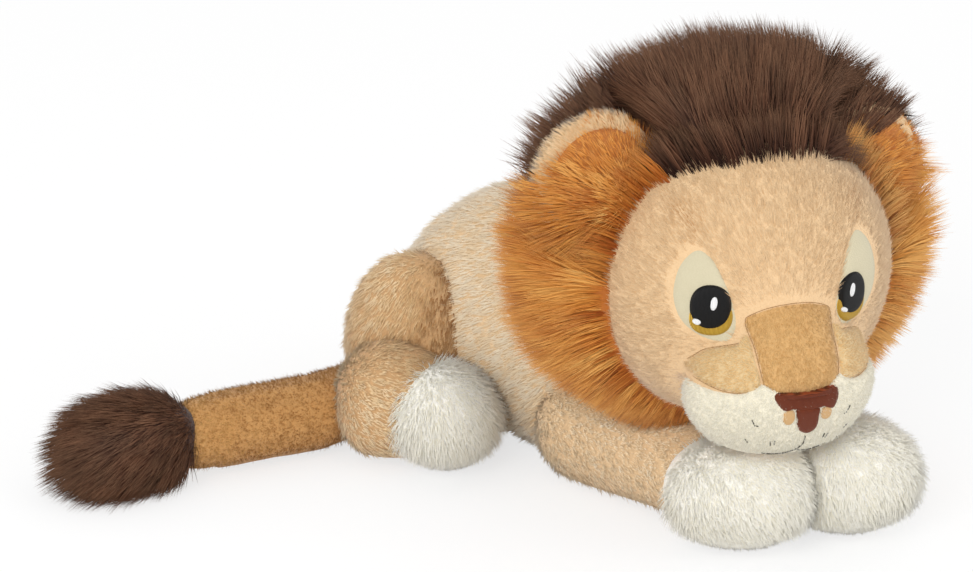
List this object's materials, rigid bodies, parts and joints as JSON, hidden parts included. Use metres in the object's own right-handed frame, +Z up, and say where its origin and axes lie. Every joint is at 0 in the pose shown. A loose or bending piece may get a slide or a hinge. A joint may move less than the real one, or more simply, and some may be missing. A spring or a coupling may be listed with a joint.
{
  "type": "plush lion",
  "caption": "Stuffed lion lying on its belly, its large head with a long-pile mane resting on its front paws, and a tufted tail stretched behind it.",
  "frame": {"origin": "on the floor under the flat of the belly", "axes": "+Z up, the face looks along -Y, the lion's left is +X and its tail runs towards -X"},
  "size_m": [0.3312, 0.2567, 0.189],
  "materials": {
    "tan_plush": "short straight pile",
    "thigh_plush": "short straight pile, darker",
    "white_plush": "soft medium pile",
    "brown_pile": "long straight pile",
    "orange_pile": "long straight pile",
    "cream_felt": "smooth brushed cloth",
    "bridge_velour": "very short pile",
    "cheek_velour": "very short pile",
    "black_stitch": "satin stitch",
    "gold_stitch": "satin stitch",
    "rust_stitch": "satin stitch",
    "fibre": "loose fibre filling",
    "pellet_cloth": "woven bag of pellets"
  },
  "bodies": {
    "trunk": {"torso_shell": "tan_plush", "belly_pellet_bag": "pellet_cloth", "torso_fill": "fibre", "haunch_left": "thigh_plush", "haunch_right": "thigh_plush"},
    "head": {"head_shell": "tan_plush", "head_fill": "fibre", "side_mane_left": "orange_pile", "side_mane_right": "orange_pile", "mane_crown": "brown_pile", "muzzle_bridge": "bridge_velour", "muzzle": "white_plush", "nose": "rust_stitch", "eye_patch_left": "cream_felt", "pupil_left": "black_stitch", "iris_left": "gold_stitch", "cheek_panel_left": "cheek_velour", "eye_patch_right": "cream_felt", "pupil_right": "black_stitch", "iris_right": "gold_stitch", "cheek_panel_right": "cheek_velour"},
    "ear_left": {"ear_back_left": "tan_plush", "ear_lining_left": "orange_pile"},
    "ear_right": {"ear_back_right": "tan_plush", "ear_lining_right": "orange_pile"},
    "front_leg_left": {"front_leg_left": "tan_plush", "front_paw_left": "white_plush", "front_leg_fill_left": "fibre"},
    "front_leg_right": {"front_leg_right": "tan_plush", "front_paw_right": "white_plush", "front_leg_fill_right": "fibre"},
    "hind_leg_left": {"hind_leg_left": "thigh_plush", "hind_paw_left": "white_plush", "hind_leg_fill_left": "fibre"},
    "hind_leg_right": {"hind_leg_right": "thigh_plush", "hind_paw_right": "white_plush", "hind_leg_fill_right": "fibre"},
    "tail": {"tail": "tan_plush", "tail_fill": "fibre", "tail_tuft": "brown_pile"}
  },
  "joints": [
    {"name": "head_nod", "type": "hinge", "parent": "trunk", "child": "head", "pos_m": [-0.004, -0.026, 0.068], "axis": [-1, 0, 0], "range_deg": [0, 20]},
    {"name": "ear_fold_left", "type": "hinge", "parent": "head", "child": "ear_left", "pos_m": [0.04801, -0.06, 0.13529], "axis": [0.5812, 0, -0.8137], "range_deg": [0, 20], "stiffness_Nm_per_rad": 0.02},
    {"name": "ear_fold_right", "type": "hinge", "parent": "head", "child": "ear_right", "pos_m": [-0.04801, -0.06, 0.13529], "axis": [0.5812, 0, 0.8137], "range_deg": [0, 20], "stiffness_Nm_per_rad": 0.02},
    {"name": "front_splay_left", "type": "hinge", "parent": "trunk", "child": "front_leg_left", "pos_m": [0.032, -0.014, 0.0215], "axis": [0, 0, 1], "range_deg": [0, 20]},
    {"name": "front_splay_right", "type": "hinge", "parent": "trunk", "child": "front_leg_right", "pos_m": [-0.032, -0.014, 0.0215], "axis": [0, 0, -1], "range_deg": [0, 20]},
    {"name": "hind_splay_left", "type": "hinge", "parent": "trunk", "child": "hind_leg_left", "pos_m": [-0.05263, 0.10178, 0.025], "axis": [0, 0, 1], "range_deg": [0, 20]},
    {"name": "hind_splay_right", "type": "hinge", "parent": "trunk", "child": "hind_leg_right", "pos_m": [-0.09392, 0.04281, 0.025], "axis": [0, 0, -1], "range_deg": [0, 20]},
    {"name": "tail_swing", "type": "hinge", "parent": "trunk", "child": "tail", "pos_m": [-0.09, 0.083, 0.0165], "axis": [0, 0, -1], "range_deg": [0, 50]}
  ]
}
